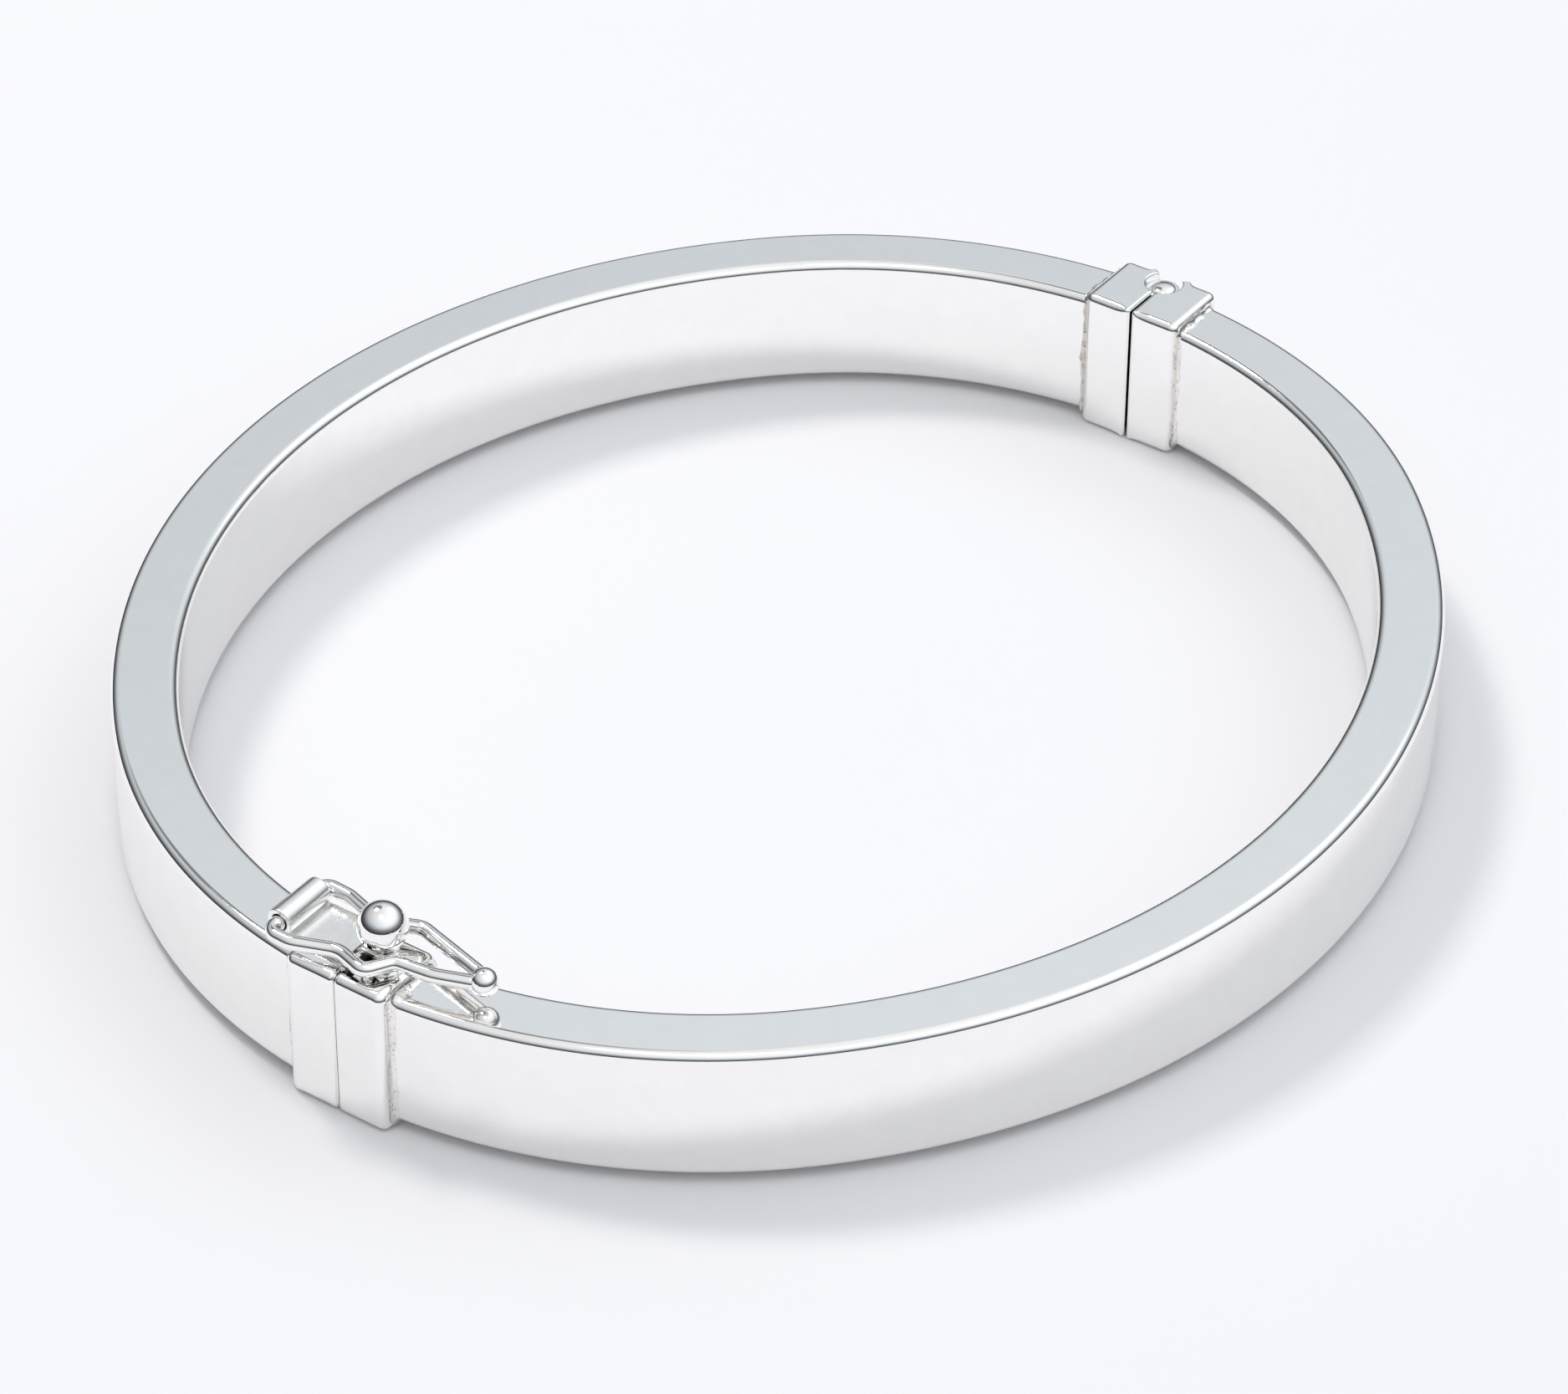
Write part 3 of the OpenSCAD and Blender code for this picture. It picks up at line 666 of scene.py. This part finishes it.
tabLow, tabHigh = cornersOf("thumb_tab")
tab = {"sheet": 0.25, "edge": 0.06, "bend": 0.2, "stemHalf": 1.4, "tabHalf": 0.7, "stemX": 31.45,
       "stemY": 0.16, "shoulder": 7.8, "discY": ballAt[1]}


def thumbTab():
    # strip that rises through the parting, narrows at its shoulders, bends over and ends round
    topZ = tabHigh[2] - tab["sheet"] / 2
    shoulder, r = tab["shoulder"], tab["bend"]
    rise = np.concatenate([withEdges(tabLow[2], shoulder, 0.05, 4), [shoulder + 0.004, shoulder + 0.03]])
    rise = rise[rise < topZ - 0.01]
    bend = turn(180, 90, 8)
    cy, cz = tab["stemY"] + r, topZ - r
    arcY, arcZ = cy + r * np.cos(bend), cz + r * np.sin(bend)
    round0 = tab["discY"]
    disc = round0 + tab["tabHalf"] * np.sin(turn(0, 88, 18))
    over = np.concatenate([np.linspace(cy, round0, 4)[1:-1], disc])
    y = np.concatenate([np.full(len(rise), tab["stemY"]), arcY, over])
    z = np.concatenate([rise, arcZ, np.full(len(over), topZ)])
    line = np.stack([0 * y, y, z], -1)
    angle = np.concatenate([np.full(len(rise), np.pi), bend, np.full(len(over), np.pi / 2)])
    normal = np.stack([0 * y, np.cos(angle), np.sin(angle)], -1)
    half = np.where(np.arange(len(y)) < len(rise) - 2, tab["stemHalf"], tab["tabHalf"])
    reach = np.clip((y - round0) / tab["tabHalf"], 0, 0.9995)
    half = np.where(y > round0, tab["tabHalf"] * np.sqrt(1 - reach ** 2), half)
    middle = np.where(half > 1, tab["stemX"], ballAt[0])
    points = ribbon(line, normal, half, middle, tab["sheet"], tab["edge"], np.array([1.0, 0, 0]))
    piece = gridPiece("thumb_tab_bent", points, closeU=False, caps=True)
    return finishPiece(piece, "tongue", "satin_silver", satinSilver, "thumb_tab")


thumbTab()
print("safety catch and thumb tab made")

for node in ("box_mouth_plate", "box_stop_plate", "front_end_plate",
             "tongue_lower_leaf", "tongue_spring_leaf"):
    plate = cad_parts[node]
    plate.data.materials.clear()
    plate.data.materials.append(innerSilver)


view = {
    "location": (0.190826, 0.133217, 0.178142), "azimuth": 2.1801118, "elevation": 0.6479540,
    "roll": 0.0074716, "lens": 143.91,
}


def addCamera():
    # back is the unit vector from the bangle to the eye: sin az cos el, -cos az cos el, sin el;
    # right and up are the level pair turned about it by the roll
    az, el, roll = view["azimuth"], view["elevation"], view["roll"]
    back = Vector((math.sin(az) * math.cos(el), -math.cos(az) * math.cos(el), math.sin(el)))
    level = Vector((0, 0, 1)).cross(back).normalized()
    upright = back.cross(level)
    right = math.cos(roll) * level + math.sin(roll) * upright
    up = -math.sin(roll) * level + math.cos(roll) * upright
    camera = bpy.data.objects.new("camera", bpy.data.cameras.new("camera"))
    camera.data.lens = view["lens"]
    camera.data.sensor_width = 36.0
    camera.data.clip_start = 0.01
    facing = Matrix((right, up, back)).transposed().to_4x4()
    camera.matrix_world = Matrix.Translation(view["location"]) @ facing
    scene.collection.objects.link(camera)
    scene.camera = camera


addCamera()

floor = {"radius": 0.42, "tint": (0.90, 0.885, 0.90)}


def addFloor():
    # low round table top whose rim falls away in a quarter circle
    t = np.linspace(0, 2 * np.pi, 128, endpoint=False)[None, :]
    r = np.concatenate([[0.001], np.linspace(0.02, floor["radius"], 24),
                        floor["radius"] + 0.01 * np.sin(turn(0, 90, 8)[1:])])[:, None] * 1000
    z = np.concatenate([np.zeros(25), -0.01 * (1 - np.cos(turn(0, 90, 8)[1:]))])[:, None] * 1000
    points = np.stack([r * np.cos(t), r * np.sin(t), z + 0 * t], -1)
    piece = gridPiece("floor", points, closeU=False, caps="first")
    material = bpy.data.materials.new("floorWhite")
    material.use_nodes = True
    shader = material.node_tree.nodes["Principled BSDF"]
    shader.inputs["Base Color"].default_value = (*floor["tint"], 1)
    shader.inputs["Roughness"].default_value = 0.9
    shader.inputs["Specular IOR Level"].default_value = 0.1
    piece.data.materials.append(material)
    return piece


addFloor()

lamps = {
    # place, size, watts and colour of each soft lamp; all look at the middle of the table
    "key": ((-0.115, -0.53, 0.87), (0.22, 0.22), 3.4, (1.0, 0.985, 0.98)),
    "overhead": ((0.25, 0.10, 1.05), (0.30, 0.30), 0.7, (0.97, 0.985, 1.0)),
}


def addLamps():
    # soft square lamps, each turned to look down its own place vector at the middle of the table
    for name, (place, size, power, tint) in lamps.items():
        light = bpy.data.lights.new(name, "AREA")
        light.shape = "RECTANGLE"
        light.size, light.size_y = size
        light.energy = power
        light.color = tint
        lamp = bpy.data.objects.new(name, light)
        lamp.location = place
        lamp.rotation_euler = (-Vector(place)).to_track_quat("-Z", "Y").to_euler()
        scene.collection.objects.link(lamp)


addLamps()

room = {
    # sky height from straight down at 0 to straight up at 1, and its colour there
    "steps": [(0.0, (0.03, 0.03, 0.032)), (0.53, (0.04, 0.041, 0.043)), (0.63, (0.16, 0.168, 0.175)),
              (0.70, (0.38, 0.405, 0.43)), (0.772, (0.63, 0.67, 0.715)), (0.794, (0.65, 0.69, 0.734)),
              (0.821, (0.71, 0.755, 0.80)), (0.89, (0.76, 0.80, 0.84)), (0.925, (0.86, 0.87, 0.88)),
              (1.0, (0.80, 0.81, 0.82))],
    "towards": (0.82, 0.57), "gain": 0.12,  # the near side of the room is brighter
    "beside": (-0.57, 0.82), "lean": 0.42,  # and so is one side
    # direction, cosine where each patch starts and where it is whole, and its share of the light
    "window": ((-0.655, 0.139, 0.743), 0.955, 0.98, 1.45),
    "doorway": ((-0.308, -0.533, 0.788), 0.955, 0.985, 0.30),
}


def addRoom():
    # sky colour by height, times one plus a share of how near the direction is to each bright side
    world = bpy.data.worlds.new("room")
    world.use_nodes = True
    tree = world.node_tree
    nodes, links = tree.nodes, tree.links
    coords = nodes.new("ShaderNodeTexCoord")
    split = nodes.new("ShaderNodeSeparateXYZ")
    half = nodes.new("ShaderNodeMapRange")
    half.inputs["From Min"].default_value = -1.0
    ramp = nodes.new("ShaderNodeValToRGB")
    stops = ramp.color_ramp.elements
    while len(stops) < len(room["steps"]):
        stops.new(0.5)
    for stop, (place, tint) in zip(stops, room["steps"]):
        stop.position = place
        stop.color = (*tint, 1)
    links.new(coords.outputs["Generated"], split.inputs["Vector"])
    links.new(split.outputs["Z"], half.inputs["Value"])
    links.new(half.outputs["Result"], ramp.inputs["Fac"])
    shade = nodes["Background"]
    links.new(ramp.outputs["Color"], shade.inputs["Color"])
    total = None
    sides = ((room["towards"], room["gain"], 0.8), (room["beside"], room["lean"], 0.0))
    for heading, share, offset in sides:
        dot = nodes.new("ShaderNodeVectorMath")
        dot.operation = "DOT_PRODUCT"
        dot.inputs[1].default_value = (*heading, 0)
        links.new(coords.outputs["Generated"], dot.inputs[0])
        term = nodes.new("ShaderNodeMath")
        term.operation = "MULTIPLY_ADD"
        term.inputs[1].default_value = share
        term.inputs[2].default_value = share * offset
        links.new(dot.outputs["Value"], term.inputs[0])
        if total is None:
            term.inputs[2].default_value = 1 + share * offset
        else:
            joined = nodes.new("ShaderNodeMath")
            links.new(total, joined.inputs[0])
            links.new(term.outputs["Value"], joined.inputs[1])
            term = joined
        total = term.outputs["Value"]
    for patch in ("window", "doorway"):
        heading, edge, whole, share = room[patch]
        dot = nodes.new("ShaderNodeVectorMath")
        dot.operation = "DOT_PRODUCT"
        dot.inputs[1].default_value = Vector(heading).normalized()
        links.new(coords.outputs["Generated"], dot.inputs[0])
        fade = nodes.new("ShaderNodeMapRange")
        fade.interpolation_type = "SMOOTHSTEP"
        for key, number in zip(("From Min", "From Max", "To Min", "To Max"), (edge, whole, 1.0, share)):
            fade.inputs[key].default_value = number
        links.new(dot.outputs["Value"], fade.inputs["Value"])
        joined = nodes.new("ShaderNodeMath")
        joined.operation = "MULTIPLY"
        links.new(total, joined.inputs[0])
        links.new(fade.outputs["Result"], joined.inputs[1])
        total = joined.outputs["Value"]
    links.new(total, shade.inputs["Strength"])
    scene.world = world


addRoom()
scene.view_settings.view_transform = "Standard"
print("stage set")
